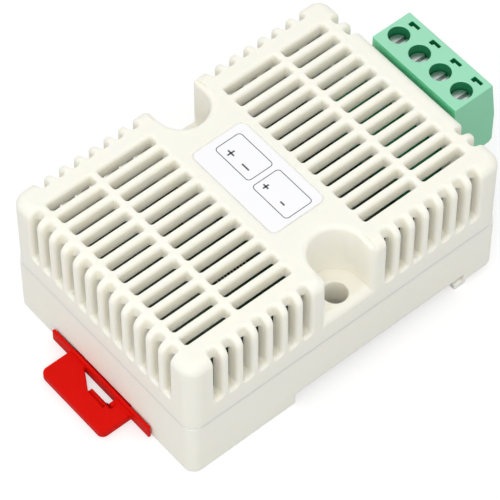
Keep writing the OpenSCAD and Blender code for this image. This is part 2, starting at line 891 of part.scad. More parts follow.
module clamp_cage(i) {
  color("silver")
    translate([screw_x, pole_y(i), 0])
      difference() {
        block(-cage_l / 2, cage_l / 2, -cage_w / 2, cage_w / 2, cage_low, cage_low + cage_h);
        block(-cage_l, cage_l, -cage_w / 2 + cage_t, cage_w / 2 - cage_t, cage_in_z, cage_in_z + cage_in_h);
        translate([0, 0, cage_in_z + over])
          cylinder(r = thread_r, h = cage_h);
      }
}

module clamp_screw_1() {
  clamp_screw(1);
}

module clamp_screw_2() {
  clamp_screw(2);
}

module clamp_screw_3() {
  clamp_screw(3);
}

module clamp_screw_4() {
  clamp_screw(4);
}

module clamp_cage_1() {
  clamp_cage(1);
}

module clamp_cage_2() {
  clamp_cage(2);
}

module clamp_cage_3() {
  clamp_cage(3);
}

module clamp_cage_4() {
  clamp_cage(4);
}

// Places of the board parts
chip_at = [-0.135 * board_l, 0];
bus_at = [pin_x - 2.7 * power_in, -0.08 * board_w];
conv_at = [pin_x - 2.7 * power_in, 0.31 * board_w];
coil_at = [0.075 * board_l, 0.18 * board_w];
can_at = [-0.085 * board_l, 0.24 * board_w];
diode_at = [pin_x - power_in, 0.18 * board_w];
sensor_at = [-board_l / 2 + sensor_in, 0];
resistors_at = [-0.34 * board_l, -0.26 * board_w];
ceramics_at = [-0.34 * board_l, 0.13 * board_w];

module on_board(at) {
  translate([at[0], at[1], board_top])
    children();
}

module chip_body(l, w, h) {
  block(-l / 2, l / 2, -w / 2, w / 2, lead_t / 2, h);
  block(-l / 4, l / 4, -w / 4, w / 4, 0, h / 2);
}

module lead_row(count, pitch, w, lead_w, h) {
  knee = 0.45 * lead_l;
  for (i = [0:count - 1], s = [-1, 1])
    translate([(i - (count - 1) / 2) * pitch - lead_w / 2, s * w / 2, 0])
      mirror([0, s < 0 ? 1 : 0, 0]) {
        block(0, lead_w, 0, knee, h / 2 - lead_t / 2, h / 2 + lead_t / 2);
        block(0, lead_w, knee - lead_t, knee, 0, h / 2);
        block(0, lead_w, knee - lead_t, lead_l, 0, lead_t);
      }
}

module controller_chip() {
  color("dimgray")
    on_board(chip_at)
      chip_body(chip_l, chip_w, chip_h);
}

module bus_chip() {
  color("dimgray")
    on_board(bus_at)
      chip_body(bus_l, bus_w, bus_h);
}

module converter_chip() {
  color("dimgray")
    on_board(conv_at)
      chip_body(conv_l, conv_w, chip_h);
}

module chip_leads() {
  color("silver") {
    on_board(chip_at)
      lead_row(10, chip_l / 10, chip_w, chip_l / 26, chip_h);
    on_board(bus_at)
      lead_row(4, bus_l / 4, bus_w, bus_l / 12, bus_h);
    on_board(conv_at)
      lead_row(3, conv_l / 3, conv_w, conv_l / 8, chip_h);
  }
}

module inductor() {
  color("slategray")
    on_board(coil_at)
      difference() {
        linear_extrude(coil_h)
          circle(coil_w * 0.54, $fn = 8);
        translate([0, 0, coil_h * 0.9])
          difference() {
            cylinder(r = coil_w * 0.4, h = coil_h);
            cylinder(r = coil_w * 0.33, h = 3 * coil_h, center = true);
          }
      }
}

module capacitor_base() {
  color("black")
    on_board(can_at)
      linear_extrude(can_foot)
        round_rect(2.1 * can_r, 2.1 * can_r, can_r / 3);
}

module capacitor_can() {
  color("silver")
    on_board(can_at)
      translate([0, 0, can_foot])
        cylinder(r = can_r, h = can_h - can_foot);
}

module protection_diode() {
  color("dimgray")
    on_board(diode_at) {
      block(-diode_w / 2, diode_w / 2, -diode_l / 2, diode_l / 2, lead_t, diode_h);
      block(-diode_w / 4, diode_w / 4, -diode_l * 0.6, diode_l * 0.6, 0, diode_h * 0.4);
    }
}

module sensor_chip() {
  color("dimgray")
    on_board(sensor_at)
      difference() {
        block(-sensor_w / 2, sensor_w / 2, -sensor_w / 2, sensor_w / 2, 0, chip_h);
        translate([0, 0, chip_h / 2])
          cylinder(r = sensor_w / 5, h = over);
      }
}

module small_parts(at, count, h) {
  for (i = [0:count - 1])
    on_board([at[0] + small_pitch * (i % 4), at[1] + small_pitch * floor(i / 4)])
      block(-small_l / 2, small_l / 2, -small_w / 2, small_w / 2, 0, h);
}

module chip_resistors() {
  color("black")
    small_parts(resistors_at, resistor_count, small_w * 0.55);
}

module ceramic_capacitors() {
  color("tan")
    small_parts(ceramics_at, ceramic_count, small_w);
}

top_cover();
base();
label();
din_clip();
clip_spring_arms();
board();
terminal_header();
header_pins();
terminal_plug();
plug_contacts();
clamp_screw_1();
clamp_screw_2();
clamp_screw_3();
clamp_screw_4();
clamp_cage_1();
clamp_cage_2();
clamp_cage_3();
clamp_cage_4();
controller_chip();
bus_chip();
converter_chip();
chip_leads();
inductor();
capacitor_can();
capacitor_base();
protection_diode();
sensor_chip();
chip_resistors();
ceramic_capacitors();
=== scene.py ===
import math
import bpy
import bmesh
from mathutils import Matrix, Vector


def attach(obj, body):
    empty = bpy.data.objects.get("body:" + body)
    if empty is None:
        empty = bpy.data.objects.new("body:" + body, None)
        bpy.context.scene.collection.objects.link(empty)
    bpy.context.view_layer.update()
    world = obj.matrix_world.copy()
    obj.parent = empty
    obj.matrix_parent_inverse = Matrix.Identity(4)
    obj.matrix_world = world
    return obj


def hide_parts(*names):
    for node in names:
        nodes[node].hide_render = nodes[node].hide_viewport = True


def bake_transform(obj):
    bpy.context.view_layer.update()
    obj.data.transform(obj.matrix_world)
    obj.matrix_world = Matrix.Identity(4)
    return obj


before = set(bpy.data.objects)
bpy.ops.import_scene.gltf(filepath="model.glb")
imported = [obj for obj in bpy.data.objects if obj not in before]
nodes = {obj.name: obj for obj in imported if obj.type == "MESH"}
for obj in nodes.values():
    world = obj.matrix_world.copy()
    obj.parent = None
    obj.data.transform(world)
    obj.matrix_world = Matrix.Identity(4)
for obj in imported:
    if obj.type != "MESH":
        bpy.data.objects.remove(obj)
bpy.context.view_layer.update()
scene = bpy.context.scene
scene.view_settings.view_transform = "Standard"
mm = 0.001
print("frame loaded:", len(nodes), "nodes")


def linear(hexColour):
    parts = [int(hexColour[i:i + 2], 16) / 255 for i in (0, 2, 4)]
    return [c / 12.92 if c <= 0.04045 else ((c + 0.055) / 1.055) ** 2.4 for c in parts] + [1.0]


def addNode(tree, kind, links=None, **settings):
    node = tree.nodes.new(kind)
    for name, value in settings.items():
        setattr(node, name, value)
    socketKind = bpy.types.NodeSocket
    for socket, value in (links or {}).items():
        several = isinstance(value, list) and isinstance(value[0], socketKind)
        for one in value if several else [value]:
            if isinstance(one, socketKind):
                tree.links.new(one, node.inputs[socket])
            else:
                node.inputs[socket].default_value = one
    return node


# finishes: every pattern is sized in millimetres on the piece itself,
# and a moulding grain too fine to show is drawn coarser, so that it does
moulding = {"cloud": 9.0, "relief": 0.05, "lessRough": 0.06, "moreRough": 0.08}
plating = {"stretch": 6.0, "lessRough": 0.08, "moreRough": 0.1}


def startFinish(name, shader):
    material = bpy.data.materials.new(name)
    material.use_nodes = True
    tree = material.node_tree
    surface = tree.nodes["Principled BSDF"]
    for socket, value in shader.items():
        surface.inputs[socket].default_value = value
    place = addNode(tree, "ShaderNodeTexCoord").outputs["Object"]
    return material, tree, surface, place


def mouldedFinish(name, main, shade, grain, bump, roughness, shader):
    material, tree, surface, place = startFinish(name, shader)
    cloudScale, grainScale = 1 / (moulding["cloud"] * mm), 1 / (grain * mm)
    cloud = addNode(tree, "ShaderNodeTexNoise", {"Vector": place, "Scale": cloudScale, "Detail": 3.0})
    tint = addNode(tree, "ShaderNodeMix", {
        0: cloud.outputs["Fac"], 6: linear(main), 7: linear(shade)}, data_type="RGBA")
    tree.links.new(tint.outputs[2], surface.inputs["Base Color"])
    spark = addNode(tree, "ShaderNodeTexNoise", {"Vector": place, "Scale": grainScale, "Detail": 2.0})
    gloss = addNode(tree, "ShaderNodeMapRange", {
        "Value": spark.outputs["Fac"],
        "To Min": roughness - moulding["lessRough"], "To Max": roughness + moulding["moreRough"]})
    tree.links.new(gloss.outputs["Result"], surface.inputs["Roughness"])
    relief = addNode(tree, "ShaderNodeBump", {
        "Height": spark.outputs["Fac"], "Strength": bump, "Distance": moulding["relief"] * mm})
    tree.links.new(relief.outputs["Normal"], surface.inputs["Normal"])
    return material


def platedFinish(name, main, shade, streakWidth, roughness):
    material, tree, surface, place = startFinish(name, {"Metallic": 1.0})
    stretch = addNode(tree, "ShaderNodeMapping", {"Vector": place, "Scale": (1.0, plating["stretch"], 1.0)})
    streak = addNode(tree, "ShaderNodeTexNoise", {
        "Vector": stretch.outputs["Vector"], "Scale": 1 / (streakWidth * mm), "Detail": 4.0})
    tint = addNode(tree, "ShaderNodeMix", {
        0: streak.outputs["Fac"], 6: linear(main), 7: linear(shade)}, data_type="RGBA")
    tree.links.new(tint.outputs[2], surface.inputs["Base Color"])
    gloss = addNode(tree, "ShaderNodeMapRange", {
        "Value": streak.outputs["Fac"],
        "To Min": roughness - plating["lessRough"], "To Max": roughness + plating["moreRough"]})
    tree.links.new(gloss.outputs["Result"], surface.inputs["Roughness"])
    return material


# ABS moulded in a fine spark-eroded tool: warm white, satin, light soaks through the thin ribs
ivoryAbs = mouldedFinish("ivoryAbs", "FBF8ED", "F9F5E8", 0.5, 0.1, 0.5, {
    "Subsurface Weight": 0.6, "Subsurface Radius": (1.0, 0.9, 0.7), "Subsurface Scale": 1.0 * mm, "IOR": 1.5})
# nylon moulded in a polished tool: saturated red, little white sheen
redNylon = mouldedFinish("redNylon", "DE1006", "D20D05", 1.2, 0.05, 0.36, {
    "IOR": 1.53, "Specular IOR Level": 0.06})
# flame-retardant nylon of the terminal: deep mint green under a bright skin
mintNylon = mouldedFinish("mintNylon", "3CD094", "36C78C", 0.6, 0.08, 0.42, {
    "IOR": 1.53, "Coat Weight": 1.0, "Coat IOR": 3.5, "Coat Roughness": 0.4})
# the same nylon with painted shade, for the header in the housing's shade and the deep recesses of the plug:
# deep green, dull
deepNylon = mouldedFinish("deepNylon", "168556", "127A4C", 0.6, 0.08, 0.5, {
    "IOR": 1.53, "Specular IOR Level": 0.2})
# epoxy moulding compound of the chips: dull black, grainy
blackEpoxy = mouldedFinish("blackEpoxy", "262628", "1C1C1E", 0.3, 0.3, 0.62, {"IOR": 1.55})
# sintered ferrite of the inductor: dark grey and dry
darkFerrite = mouldedFinish("darkFerrite", "3C3D40", "2E2F32", 0.4, 0.3, 0.7, {"IOR": 1.6})
# fired ceramic of the small capacitors: tan, slightly glossy
tanCeramic = mouldedFinish("tanCeramic", "B08C62", "A17E55", 0.3, 0.1, 0.4, {"IOR": 1.6})
# solder mask on glass-epoxy laminate: deep green, glossy
maskedLaminate = mouldedFinish("maskedLaminate", "0C3A1E", "0A3018", 1.6, 0.1, 0.3, {"IOR": 1.55})
# polyester film of the label: white, smooth, faint sheen
labelFilm = mouldedFinish("labelFilm", "FAFAFC", "F6F6F8", 0.8, 0.03, 0.4, {"IOR": 1.5})
# printing ink on the film: dark grey, flat
greyInk = mouldedFinish("greyInk", "55565A", "4A4B4E", 0.4, 0.05, 0.6, {"IOR": 1.5})
# zinc-plated steel of screws and cages: bright, with fine turning marks
zincSteel = platedFinish("zincSteel", "EEEFF0", "D2D4D6", 0.5, 0.3)
# tin-plated brass of pins and contacts: softer and warmer
tinnedBrass = platedFinish("tinnedBrass", "CFCBBE", "BDB8A6", 0.6, 0.36)
# drawn aluminium of the capacitor can: pale and even
drawnAluminium = platedFinish("drawnAluminium", "D6D7D9", "C4C6C9", 0.8, 0.3)
print("finishes made")


# mesh work
overrun = 1.0  # mm that a cutter runs beyond the face it opens
weldGap = 0.002  # mm, corners closer than this become one
flatAngle = 0.4  # degrees, faces that turn less become one


def keepMesh(name, mesh):
    piece = bpy.data.objects.new(name, mesh)
    scene.collection.objects.link(piece)
    return piece


def closeMesh(name, bm):
    bmesh.ops.recalc_face_normals(bm, faces=bm.faces)
    if bm.calc_volume(signed=True) < 0:
        bmesh.ops.reverse_faces(bm, faces=bm.faces)
    mesh = bpy.data.meshes.new(name)
    bm.to_mesh(mesh)
    bm.free()
    return keepMesh(name, mesh)


def freeze(piece):
    bpy.context.view_layer.update()
    baked = bpy.data.meshes.new_from_object(piece.evaluated_get(bpy.context.evaluated_depsgraph_get()))
    old = piece.data
    piece.modifiers.clear()
    piece.data = baked
    bpy.data.meshes.remove(old)
    baked.name = piece.name
    return piece


def loft(name, loops, mirrored=False):
    bm = bmesh.new()
    rings = [[bm.verts.new(Vector(p) * mm) for p in loop] for loop in loops]
    for ring in (rings[0], rings[-1]):
        if mirrored:
            for i in range(len(ring) // 2 - 1):
                bm.faces.new((ring[i], ring[i + 1], ring[-2 - i], ring[-1 - i]))
        else:
            bm.faces.new(ring)
    for low, high in zip(rings, rings[1:]):
        for i in range(len(low)):
            j = (i + 1) % len(low)
            bm.faces.new((low[i], low[j], high[j], high[i]))
    return closeMesh(name, bm)


def brick(name, x0, x1, y0, y1, z0, z1):
    plan = [(x0, y0), (x1, y0), (x1, y1), (x0, y1)]
    return loft(name, [[(x, y, z) for x, y in plan] for z in (z0, z1)])


def drum(name, y, r, z0, z1, steps=64):
    turn = [2 * math.pi * i / steps for i in range(steps)]
    return loft(name, [[(r * math.cos(a), y + r * math.sin(a), z) for a in turn] for z in (z0, z1)])


def roundedPlan(l, w, r, steps=8):
    corners = ((1, 1, 0), (-1, 1, 90), (-1, -1, 180), (1, -1, 270))
    turns = [(sx, sy, math.radians(start + 90 * i / steps))
             for sx, sy, start in corners for i in range(steps + 1)]
    return [(sx * (l / 2 - r) + r * math.cos(a), sy * (w / 2 - r) + r * math.sin(a)) for sx, sy, a in turns]


def combine(piece, operation, *others):
    for other in others:
        step = piece.modifiers.new(other.name, "BOOLEAN")
        step.operation = operation
        step.solver = "EXACT"
        step.object = other
    freeze(piece)
    for other in others:
        mesh = other.data
        bpy.data.objects.remove(other)
        bpy.data.meshes.remove(mesh)
    return piece


def softenEdges(piece, width, segments=3, sharp=34, where=None):
    bm = bmesh.new()
    bm.from_mesh(piece.data)
    bmesh.ops.remove_doubles(bm, verts=bm.verts, dist=weldGap * mm)
    bmesh.ops.dissolve_limit(bm, angle_limit=math.radians(flatAngle), verts=bm.verts, edges=bm.edges)
    weight = bm.edges.layers.float.new("bevel_weight_edge")
    for edge in bm.edges:
        turned = len(edge.link_faces) == 2 and edge.calc_face_angle() > math.radians(sharp)
        if turned and (where is None or all(where(v.co / mm) for v in edge.verts)):
            edge[weight] = 1.0
    for face in bm.faces:
        face.smooth = True
    bm.to_mesh(piece.data)
    bm.free()
    piece.data.set_sharp_from_angle(angle=math.radians(sharp))
    edge = piece.modifiers.new("edges", "BEVEL")
    edge.width = width * mm
    edge.segments = segments
    edge.limit_method = "WEIGHT"
    edge.loop_slide = False
    edge.use_clamp_overlap = False
    edge.harden_normals = True
    return freeze(piece)


def smoothFaces(piece, sharp):
    piece.data.polygons.foreach_set("use_smooth", [True] * len(piece.data.polygons))
    piece.data.set_sharp_from_angle(angle=math.radians(sharp))
    even = piece.modifiers.new("normals", "WEIGHTED_NORMAL")
    even.keep_sharp = True
    return freeze(piece)


def copyNode(name, node):
    return keepMesh(name, nodes[node].data.copy())


def dress(piece, finish, body, slot, *stands):
    piece.data.materials.clear()
    piece.data.materials.append(finish)
    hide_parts(*stands)
    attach(piece, body)
    print("dressed", piece.name, len(piece.data.polygons), "faces")


# vented cover
cover = {
    "length": 65.0, "width": 45.0, "joint": 9.4, "top": 25.7, "wall": 2.4, "roof": 2.8,
    "cornerR": 2.6, "topR": 2.0, "seam": 0.03,
    "lap": 0.8, "lapHeight": 1.5,  # room for the tongue of the base
    "holeY": 19.1, "holeR": 2.1, "holeRim": 0.25, "bossR": 3.3,
    "ledge": 14.7, "ledgeThick": 1.8, "ledgeR": 1.6, "ledgeLift": 0.01, "ledgeOver": 0.5, "ledgeGap": 0.02,
    "pocketR": 4.7, "mouthR": 1.2, "flare": 0.9,
    "openWidth": 22.02, "openTop": 18.6,
    "labelWidth": 11.2, "labelLength": 20.7, "labelR": 1.2, "labelDepth": 0.2, "labelRim": 0.12,
}
slots = {
    "width": 1.65, "long": 10.9, "short": 8.9, "cornerR": 0.4, "rim": 0.55, "drop": 0.9,
    "low": 13.9, "wrap": 2.1, "endR": 0.6, "through": 0.2, "out": 1.2,  # slots of the walls
    "rimGap": 0.01, "rimLift": 0.005, "rimTail": 0.3,
}
vents = {
    "Rows": 12, "Row Pitch": 3.02 * mm, "Band": 15.2 * mm,
    "Long Slot": slots["long"] * mm, "Short Slot": slots["short"] * mm,
    "Column Gap": 1.34 * mm, "Grid Shift": (-0.25 * mm, 0.0, 0.0),
    "End Slots": 2, "End Wall": cover["length"] / 2 * mm,
    "Side Slots": 7, "First Side Slot": 8.6 * mm, "Side Wall": cover["width"] / 2 * mm,
}


def quarter(steps):
    return [math.radians(90 * i / steps) for i in range(steps + 1)]


def coverBlank():
    c = cover
    loops = []
    for z, inset in ((c["joint"], c["seam"]), (c["joint"] + c["seam"], 0.0)):
        plan = roundedPlan(c["length"] - 2 * inset, c["width"] - 2 * inset, c["cornerR"] - inset)
        loops.append([(x, y, z) for x, y in plan])
    for a in quarter(8):
        inset = c["topR"] * (1 - math.cos(a))
        plan = roundedPlan(c["length"] - 2 * inset, c["width"] - 2 * inset, c["cornerR"] - inset)
        loops.append([(x, y, c["top"] - c["topR"] * (1 - math.sin(a))) for x, y in plan])
    return loft("cover", loops)


def skinHeight(y):
    c = cover
    past = min(c["topR"], max(0.0, abs(y) - c["width"] / 2 + c["topR"]))
    return c["top"] - c["topR"] + math.sqrt(c["topR"] ** 2 - past ** 2)


def flaredCutter(name, plan, low, height, rim, drop):
    loops = [[(x, y, low) for x, y in plan(0.0)]]
    for a in quarter(6):
        loops.append([(x, y, height(y) - drop * (1 - math.sin(a))) for x, y in plan(rim * (1 - math.cos(a)))])
    loops.append([(x, y, cover["top"] + overrun) for x, y in plan(rim)])
    return loft(name, loops)


def topCutter(name, length):
    s = slots
    return flaredCutter(
        name, lambda g: roundedPlan(length + 2 * g, s["width"] + 2 * g, s["cornerR"] + g, 4),
        cover["top"] - cover["roof"] - overrun, lambda y: cover["top"], s["rim"], s["drop"])


# through cut of a wall slot, drawn on a wall that faces +Y with its skin at y = 0
def wallCutter():
    c, s = cover, slots
    half, r, under = s["width"] / 2, s["endR"], c["top"] - c["roof"]
    right = [(half - r + r * math.sin(a), s["low"] + r - r * math.cos(a)) for a in quarter(6)]
    right += [(half, under)]
    plan = right + [(-x, z) for x, z in reversed(right)]
    cutter = loft("wallCutter", [[(x, y, z) for x, z in plan] for y in (-c["wall"] - s["through"], overrun)])
    middle = (s["out"] - s["wrap"]) / 2
    plan = [(x, y + middle) for x, y in roundedPlan(s["width"], s["wrap"] + s["out"], r, 6)]
    overTop = loft("overTop", [[(x, y, z) for x, y in plan] for z in (under - overrun, c["top"] + overrun)])
    return combine(cutter, "UNION", overTop)


# rounded rim of a wall slot: its outline, growing towards the skin, laid up the wall and over the top edge
def rimCutter():
    c, s = cover, slots
    rim, drop, r = s["rim"], s["drop"], c["topR"]
    rise = c["top"] - r - s["low"]
    bend = r * math.pi / 2
    reach = rise + bend + s["wrap"] - r

    def onSkin(x, u, h):
        turn = min(max(u - rise, 0.0), bend) / r
        past = max(u - rise - bend, 0.0)
        return x, (r + h) * math.cos(turn) - r - past, s["low"] + min(u, rise) + (r + h) * math.sin(turn)

    def outline(grow):
        half, end = s["width"] / 2 + grow, s["endR"] + grow
        right = [(half - end + end * math.sin(a), end - grow - end * math.cos(a)) for a in quarter(6)]
        right += [(half, u) for u in (rise + bend * i / 12 for i in range(13)) if u < reach - s["endR"]]
        right += [(half - end + end * math.cos(a), reach + grow - end + end * math.sin(a))
                  for a in quarter(6)]
        return right + [(-x, u) for x, u in reversed(right)]

    steps = [(-s["rimGap"], -drop - s["rimTail"])]
    steps += [(rim * (1 - math.cos(a)) - s["rimGap"], s["rimLift"] - drop * (1 - math.sin(a)))
              for a in quarter(6)]
    steps += [(rim, overrun)]
    loops = [[onSkin(x, u, h) for x, u in outline(grow)] for grow, h in steps]
    return loft("rimCutter", loops, mirrored=True)


def pocketPlan(side, grow):
    c = cover
    edge, r, f = c["width"] / 2, c["pocketR"] + grow, c["mouthR"] - grow
    mouth = [(r + f - f * math.sin(a), edge - f + f * math.cos(a)) for a in quarter(8)]
    bowl = [(r * math.cos(2 * a), c["holeY"] - r * math.sin(2 * a)) for a in quarter(24)]
    half = [(r + f, edge + overrun)] + mouth
    far = [(-x, y) for x, y in reversed(half)]
    return [(x, side * y) for x, y in half + bowl + far]


def holePlan(side, r):
    return [(x, y + side * cover["holeY"]) for x, y in roundedPlan(2 * r, 2 * r, r, 12)]


def ledgeCutter(side):
    c = cover
    edge, r, z = c["width"] / 2, c["ledgeR"], c["ledge"] + c["ledgeLift"]
    profile = [(edge + overrun, z + c["ledgeOver"]), (edge - r, z + c["ledgeOver"])]
    profile += [(edge - r + r * math.sin(a), z - r + r * math.cos(a)) for a in quarter(8)]
    profile += [(edge + overrun, z - r)]
    reach = c["pocketR"] + c["mouthR"]
    cutter = loft("ledge", [[(x, side * y, h) for y, h in profile] for x in (-reach, reach)])
    plan = pocketPlan(side, -c["ledgeGap"])
    mouth = loft("mouth", [[(x, y, h) for x, y in plan] for h in (z - r - overrun, z + overrun)])
    return combine(cutter, "INTERSECT", mouth)


def ventTree():
    tree = bpy.data.node_groups.new("coverVents", "GeometryNodeTree")
    kinds = {int: "NodeSocketInt", float: "NodeSocketFloat", tuple: "NodeSocketVector"}
    tree.interface.new_socket("Cover", in_out="INPUT", socket_type="NodeSocketGeometry")
    for name, value in vents.items():
        tree.interface.new_socket(name, in_out="INPUT", socket_type=kinds[type(value)])
    for name in ("Long Cutter", "Short Cutter", "Wall Cutter", "Rim Cutter"):
        tree.interface.new_socket(name, in_out="INPUT", socket_type="NodeSocketObject")
    tree.interface.new_socket("Finish", in_out="INPUT", socket_type="NodeSocketMaterial")
    tree.interface.new_socket("Cover", in_out="OUTPUT", socket_type="NodeSocketGeometry")
    size = addNode(tree, "NodeGroupInput").outputs

    # span of the rows, and the reach from column to column across the closed band
    gaps = addNode(tree, "ShaderNodeMath", {0: size["Rows"], 1: -1.0}, operation="ADD").outputs[0]
    span = addNode(tree, "ShaderNodeMath", {0: gaps, 1: size["Row Pitch"]}, operation="MULTIPLY").outputs[0]
    firstRow = addNode(tree, "ShaderNodeMath", {0: span, 1: -0.5}, operation="MULTIPLY").outputs[0]
    longReach = addNode(tree, "ShaderNodeMath", {
        0: size["Band"], 1: size["Long Slot"]}, operation="ADD").outputs[0]
    shortReach = addNode(tree, "ShaderNodeMath", {
        0: size["Column Gap"], 1: 2.0}, operation="MULTIPLY").outputs[0]
    for part in (size["Short Slot"], size["Long Slot"], longReach):
        shortReach = addNode(tree, "ShaderNodeMath", {0: shortReach, 1: part}, operation="ADD").outputs[0]

    def placeCutter(name, points, turn=0):
        shape = addNode(tree, "GeometryNodeObjectInfo", {"Object": size[name]}).outputs["Geometry"]
        return addNode(tree, "GeometryNodeInstanceOnPoints", {
            "Points": points, "Instance": shape, "Rotation": (0, 0, math.radians(turn))}).outputs[0]

    def gridPoints(reach):
        grid = addNode(tree, "GeometryNodeMeshGrid", {
            "Size X": reach, "Size Y": span, "Vertices X": 2, "Vertices Y": size["Rows"]}).outputs[0]
        return addNode(tree, "GeometryNodeTransform", {
            "Geometry": grid, "Translation": size["Grid Shift"]}).outputs[0]

    def wallLine(count, start, step):
        return addNode(tree, "GeometryNodeMeshLine", {
            "Count": count, "Start Location": addNode(tree, "ShaderNodeCombineXYZ", start).outputs[0],
            "Offset": addNode(tree, "ShaderNodeCombineXYZ", {step: size["Row Pitch"]}).outputs[0]}).outputs[0]

    # one line of slots for each wall, mirrored across the cover
    clipEnd = wallLine(size["Rows"], {0: size["End Wall"], 1: firstRow}, 1)
    clipEnd = addNode(tree, "GeometryNodeTransform", {"Geometry": clipEnd, "Scale": (-1, 1, 1)}).outputs[0]
    wireEnd = wallLine(size["End Slots"], {0: size["End Wall"], 1: firstRow}, 1)
    farPair = addNode(tree, "GeometryNodeTransform", {"Geometry": wireEnd, "Scale": (1, -1, 1)}).outputs[0]
    wireEnd = addNode(tree, "GeometryNodeJoinGeometry", {0: [wireEnd, farPair]}).outputs[0]
    plusSide = wallLine(size["Side Slots"], {0: size["First Side Slot"], 1: size["Side Wall"]}, 0)
    clipHalf = addNode(tree, "GeometryNodeTransform", {"Geometry": plusSide, "Scale": (-1, 1, 1)}).outputs[0]
    plusSide = addNode(tree, "GeometryNodeJoinGeometry", {0: [plusSide, clipHalf]}).outputs[0]
    minusSide = addNode(tree, "GeometryNodeTransform", {"Geometry": plusSide, "Scale": (1, -1, 1)}).outputs[0]
    walls = ((plusSide, 0), (minusSide, 180), (clipEnd, 90), (wireEnd, -90))
    top = (("Long Cutter", longReach), ("Short Cutter", shortReach))
    opened = size["Cover"]
    for parts in ([placeCutter(name, gridPoints(reach)) for name, reach in top],
                  [placeCutter("Wall Cutter", points, turn) for points, turn in walls],
                  [placeCutter("Rim Cutter", points, turn) for points, turn in walls]):
        cutters = addNode(tree, "GeometryNodeJoinGeometry", {0: parts}).outputs[0]
        cutters = addNode(tree, "GeometryNodeRealizeInstances", {0: cutters}).outputs[0]
        opened = addNode(tree, "GeometryNodeMeshBoolean", {
            "Mesh 1": opened, "Mesh 2": cutters}, operation="DIFFERENCE", solver="EXACT").outputs[0]
    real = addNode(tree, "GeometryNodeRealizeInstances", {0: opened}).outputs[0]
    finished = addNode(tree, "GeometryNodeSetMaterial", {
        "Geometry": real, "Material": size["Finish"]}).outputs[0]
    addNode(tree, "NodeGroupOutput", {0: finished})
    return tree


def runTree(piece, tree, values):
    step = piece.modifiers.new(tree.name, "NODES")
    step.node_group = tree
    for item in tree.interface.items_tree:
        if item.in_out == "INPUT" and item.name in values:
            step[item.identifier] = values[item.name]
    return freeze(piece)


def makeCover():
    c = cover
    shell = coverBlank()
    innerX, innerY = c["length"] / 2 - c["wall"], c["width"] / 2 - c["wall"]
    grooveX, grooveY, halfOpen = innerX + c["lap"], innerY + c["lap"], c["openWidth"] / 2
    under = c["joint"] - overrun
    hollow = brick("hollow", -innerX, innerX, -innerY, innerY, under, c["top"] - c["roof"])
    groove = brick(
        "groove", -grooveX, grooveX, -grooveY, grooveY,
        c["joint"] - c["lapHeight"], c["joint"] + c["lapHeight"])
    combine(hollow, "UNION", groove)
    for s in (-1, 1):
        y, outerR = s * c["holeY"], c["pocketR"] + c["wall"]
        combine(hollow, "DIFFERENCE",
                drum("pocketWall", y, outerR, c["ledge"] - c["ledgeThick"], c["top"]),
                drum("screwBoss", y, c["bossR"], under - overrun, c["ledge"]))
    opening = brick(
        "opening", innerX - overrun, innerX + c["wall"] + overrun, -halfOpen, halfOpen, under, c["openTop"])
    recess = flaredCutter(
        "labelRecess",
        lambda g: roundedPlan(c["labelWidth"] + 2 * g, c["labelLength"] + 2 * g, c["labelR"] + g),
        c["top"] - c["labelDepth"], lambda y: c["top"], c["labelRim"], c["labelRim"])
    combine(shell, "DIFFERENCE", hollow, opening, recess)
    for s in (-1, 1):
        pocket = flaredCutter(
            "pocket", lambda g: pocketPlan(s, g), c["ledge"], skinHeight, c["flare"], c["flare"])
        hole = flaredCutter(
            "screwHole", lambda g: holePlan(s, c["holeR"] + g),
            under, lambda y: c["ledge"], c["holeRim"], c["holeRim"])
        combine(shell, "DIFFERENCE", pocket, ledgeCutter(s), hole)
    print("cover shell:", len(shell.data.polygons), "faces")
    cutters = {
        "Long Cutter": topCutter("longCutter", slots["long"]),
        "Short Cutter": topCutter("shortCutter", slots["short"]),
        "Wall Cutter": wallCutter(), "Rim Cutter": rimCutter()}
    runTree(shell, ventTree(), dict(vents, **cutters, Finish=ivoryAbs))
    for cutter in cutters.values():
        bpy.data.objects.remove(cutter)
    print("cover vented:", len(shell.data.polygons), "faces")
    return smoothFaces(shell, 40)


dress(makeCover(), ivoryAbs, "housing", "ivory_abs", "top_cover")

# base, rail clip, header and plug keep the solid's form with moulded edges
edges = {"base": 0.3, "clip": 0.24, "plug": 0.16, "header": 0.12, "arms": 0.12, "screw": 0.1}
# feet and outer walls, without the rail seat at z = 0
footRegion = {"belowZ": 5.0, "seat": 0.2, "beyondX": 32.0, "beyondY": 22.0}


def onFoot(p):
    f = footRegion
    outside = p.z < 0 or abs(p.x) > f["beyondX"] or abs(p.y) > f["beyondY"]
    return outside and p.z < f["belowZ"] and abs(p.z) > f["seat"]


base = softenEdges(copyNode("baseShell", "base"), edges["base"], where=onFoot)
dress(base, ivoryAbs, "housing", "ivory_abs", "base")
clip = softenEdges(copyNode("railClip", "din_clip"), edges["clip"])
dress(clip, redNylon, "rail_clip", "red_nylon", "din_clip")
# the header sits in the housing's shade, so it wears the nylon with painted shade
header = softenEdges(copyNode("terminalHeader", "terminal_header"), edges["header"])
dress(header, deepNylon, "housing", "green_nylon", "terminal_header")
plug = softenEdges(copyNode("terminalPlug", "terminal_plug"), edges["plug"])
dress(plug, mintNylon, "plug", "green_nylon", "terminal_plug")
# the screw holes and the engraved marks get painted shade: their faces take the darker green that stands in
# for the shade inside them
terminal = {"poles": 4, "pitch": 5.08, "screwX": 36.7, "headTop": 23.5}
recess = {"low": 21.9, "high": 25.26, "holeR": 1.9, "markX": (39.3, 40.5), "markDepth": 1.2}
poles = [terminal["pitch"] * ((terminal["poles"] - 1) / 2 - i) for i in range(terminal["poles"])]
plug.data.materials.append(deepNylon)
for face in plug.data.polygons:
    x, y, z = face.center / mm
    inHole = any(math.hypot(x - terminal["screwX"], y - pole) < recess["holeR"] for pole in poles)
    inMark = recess["markX"][0] < x < recess["markX"][1] and z > recess["high"] - recess["markDepth"]
    if recess["low"] < z < recess["high"] and (inHole or inMark):
        face.material_index = 1

